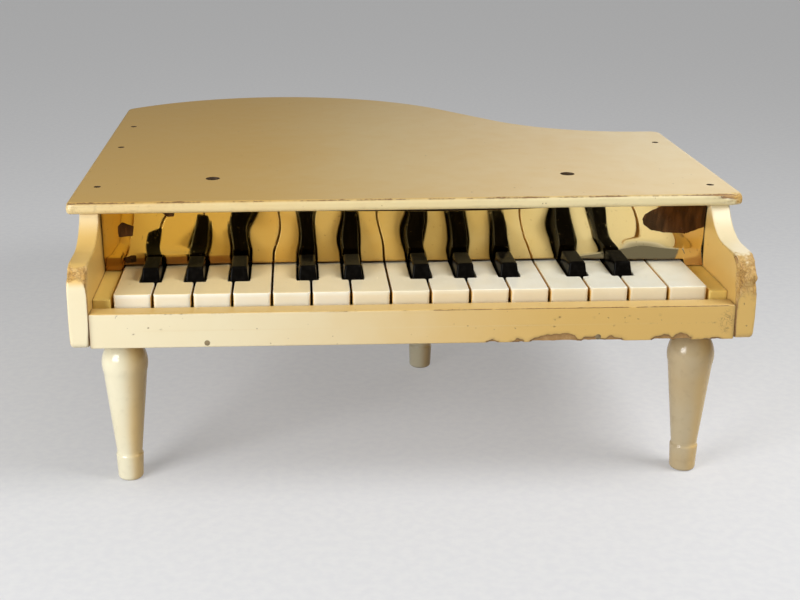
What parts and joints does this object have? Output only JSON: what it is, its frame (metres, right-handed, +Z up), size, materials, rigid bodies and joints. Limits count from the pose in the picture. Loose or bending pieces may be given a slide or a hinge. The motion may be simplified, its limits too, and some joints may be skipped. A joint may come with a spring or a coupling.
{
  "type": "toy grand piano",
  "caption": "Painted wooden toy grand piano with a curved lid, turned legs, a gold mirror sheet behind the keys, and keys that rock to strike tuned steel rods.",
  "frame": {"origin": "middle of the outline on the floor under the feet", "axes": "+X towards the treble end, +Y away from the player, +Z up"},
  "size_m": [0.424, 0.435, 0.172],
  "materials": {
    "painted_wood": "old cream paint, chipped",
    "yellowed_paint": "yellowed paint",
    "leg_enamel": "glossy ivory enamel",
    "bare_wood": "bare",
    "white_plastic": "glossy",
    "black_plastic": "glossy",
    "gold_mirror": "polished, wavy",
    "steel": "dull",
    "cast_iron": "rough",
    "felt": "felt"
  },
  "bodies": {
    "case": {"lid": "painted_wood", "left_side": "painted_wood", "right_side": "painted_wood", "bent_side": "painted_wood", "key_slip": "painted_wood", "left_key_block": "yellowed_paint", "right_key_block": "yellowed_paint", "front_left_leg": "leg_enamel", "front_right_leg": "leg_enamel", "rear_leg": "leg_enamel", "bottom_board": "bare_wood", "fallboard": "bare_wood", "glue_blocks": "bare_wood", "front_rail": "bare_wood", "back_rail": "bare_wood", "balance_rail": "bare_wood", "left_bar_post": "bare_wood", "right_bar_post": "bare_wood", "mirror_sheet": "gold_mirror", "lid_nails": "steel", "key_slip_nails": "steel", "side_nails": "steel", "leg_studs": "steel", "tone_bar_screws": "steel", "tone_rods": "steel", "pivot_rod": "steel", "pivot_brackets": "steel", "tone_bar": "cast_iron", "front_rail_felt": "felt", "back_rail_felt": "felt"},
    "f4_key": {"key_f4": "white_plastic"},
    "f4_sharp_key": {"key_f4_sharp": "black_plastic"},
    "g4_key": {"key_g4": "white_plastic"},
    "g4_sharp_key": {"key_g4_sharp": "black_plastic"},
    "a4_key": {"key_a4": "white_plastic"},
    "a4_sharp_key": {"key_a4_sharp": "black_plastic"},
    "b4_key": {"key_b4": "white_plastic"},
    "c5_key": {"key_c5": "white_plastic"},
    "c5_sharp_key": {"key_c5_sharp": "black_plastic"},
    "d5_key": {"key_d5": "white_plastic"},
    "d5_sharp_key": {"key_d5_sharp": "black_plastic"},
    "e5_key": {"key_e5": "white_plastic"},
    "f5_key": {"key_f5": "white_plastic"},
    "f5_sharp_key": {"key_f5_sharp": "black_plastic"},
    "g5_key": {"key_g5": "white_plastic"},
    "g5_sharp_key": {"key_g5_sharp": "black_plastic"},
    "a5_key": {"key_a5": "white_plastic"},
    "a5_sharp_key": {"key_a5_sharp": "black_plastic"},
    "b5_key": {"key_b5": "white_plastic"},
    "c6_key": {"key_c6": "white_plastic"},
    "c6_sharp_key": {"key_c6_sharp": "black_plastic"},
    "d6_key": {"key_d6": "white_plastic"},
    "d6_sharp_key": {"key_d6_sharp": "black_plastic"},
    "e6_key": {"key_e6": "white_plastic"},
    "f6_key": {"key_f6": "white_plastic"}
  },
  "joints": [
    {"name": "press_f4", "type": "hinge", "parent": "case", "child": "f4_key", "pos_m": [-0.17272, -0.1265, 0.119], "axis": [1, 0, 0], "range_deg": [0, 4.8]},
    {"name": "press_f4_sharp", "type": "hinge", "parent": "case", "child": "f4_sharp_key", "pos_m": [-0.1594, -0.1265, 0.119], "axis": [1, 0, 0], "range_deg": [0, 4.8]},
    {"name": "press_g4", "type": "hinge", "parent": "case", "child": "g4_key", "pos_m": [-0.1457, -0.1265, 0.119], "axis": [1, 0, 0], "range_deg": [0, 4.8]},
    {"name": "press_g4_sharp", "type": "hinge", "parent": "case", "child": "g4_sharp_key", "pos_m": [-0.132, -0.1265, 0.119], "axis": [1, 0, 0], "range_deg": [0, 4.8]},
    {"name": "press_a4", "type": "hinge", "parent": "case", "child": "a4_key", "pos_m": [-0.1183, -0.1265, 0.119], "axis": [1, 0, 0], "range_deg": [0, 4.8]},
    {"name": "press_a4_sharp", "type": "hinge", "parent": "case", "child": "a4_sharp_key", "pos_m": [-0.1046, -0.1265, 0.119], "axis": [1, 0, 0], "range_deg": [0, 4.8]},
    {"name": "press_b4", "type": "hinge", "parent": "case", "child": "b4_key", "pos_m": [-0.09127, -0.1265, 0.119], "axis": [1, 0, 0], "range_deg": [0, 4.8]},
    {"name": "press_c5", "type": "hinge", "parent": "case", "child": "c5_key", "pos_m": [-0.07608, -0.1265, 0.119], "axis": [1, 0, 0], "range_deg": [0, 4.8]},
    {"name": "press_c5_sharp", "type": "hinge", "parent": "case", "child": "c5_sharp_key", "pos_m": [-0.0621, -0.1265, 0.119], "axis": [1, 0, 0], "range_deg": [0, 4.8]},
    {"name": "press_d5", "type": "hinge", "parent": "case", "child": "d5_key", "pos_m": [-0.048, -0.1265, 0.119], "axis": [1, 0, 0], "range_deg": [0, 4.8]},
    {"name": "press_d5_sharp", "type": "hinge", "parent": "case", "child": "d5_sharp_key", "pos_m": [-0.0339, -0.1265, 0.119], "axis": [1, 0, 0], "range_deg": [0, 4.8]},
    {"name": "press_e5", "type": "hinge", "parent": "case", "child": "e5_key", "pos_m": [-0.01992, -0.1265, 0.119], "axis": [1, 0, 0], "range_deg": [0, 4.8]},
    {"name": "press_f5", "type": "hinge", "parent": "case", "child": "f5_key", "pos_m": [-0.00473, -0.1265, 0.119], "axis": [1, 0, 0], "range_deg": [0, 4.8]},
    {"name": "press_f5_sharp", "type": "hinge", "parent": "case", "child": "f5_sharp_key", "pos_m": [0.0086, -0.1265, 0.119], "axis": [1, 0, 0], "range_deg": [0, 4.8]},
    {"name": "press_g5", "type": "hinge", "parent": "case", "child": "g5_key", "pos_m": [0.0223, -0.1265, 0.119], "axis": [1, 0, 0], "range_deg": [0, 4.8]},
    {"name": "press_g5_sharp", "type": "hinge", "parent": "case", "child": "g5_sharp_key", "pos_m": [0.036, -0.1265, 0.119], "axis": [1, 0, 0], "range_deg": [0, 4.8]},
    {"name": "press_a5", "type": "hinge", "parent": "case", "child": "a5_key", "pos_m": [0.0497, -0.1265, 0.119], "axis": [1, 0, 0], "range_deg": [0, 4.8]},
    {"name": "press_a5_sharp", "type": "hinge", "parent": "case", "child": "a5_sharp_key", "pos_m": [0.0634, -0.1265, 0.119], "axis": [1, 0, 0], "range_deg": [0, 4.8]},
    {"name": "press_b5", "type": "hinge", "parent": "case", "child": "b5_key", "pos_m": [0.07673, -0.1265, 0.119], "axis": [1, 0, 0], "range_deg": [0, 4.8]},
    {"name": "press_c6", "type": "hinge", "parent": "case", "child": "c6_key", "pos_m": [0.09193, -0.1265, 0.119], "axis": [1, 0, 0], "range_deg": [0, 4.8]},
    {"name": "press_c6_sharp", "type": "hinge", "parent": "case", "child": "c6_sharp_key", "pos_m": [0.1059, -0.1265, 0.119], "axis": [1, 0, 0], "range_deg": [0, 4.8]},
    {"name": "press_d6", "type": "hinge", "parent": "case", "child": "d6_key", "pos_m": [0.12, -0.1265, 0.119], "axis": [1, 0, 0], "range_deg": [0, 4.8]},
    {"name": "press_d6_sharp", "type": "hinge", "parent": "case", "child": "d6_sharp_key", "pos_m": [0.1341, -0.1265, 0.119], "axis": [1, 0, 0], "range_deg": [0, 4.8]},
    {"name": "press_e6", "type": "hinge", "parent": "case", "child": "e6_key", "pos_m": [0.14808, -0.1265, 0.119], "axis": [1, 0, 0], "range_deg": [0, 4.8]},
    {"name": "press_f6", "type": "hinge", "parent": "case", "child": "f6_key", "pos_m": [0.168, -0.1265, 0.119], "axis": [1, 0, 0], "range_deg": [0, 4.8]}
  ]
}
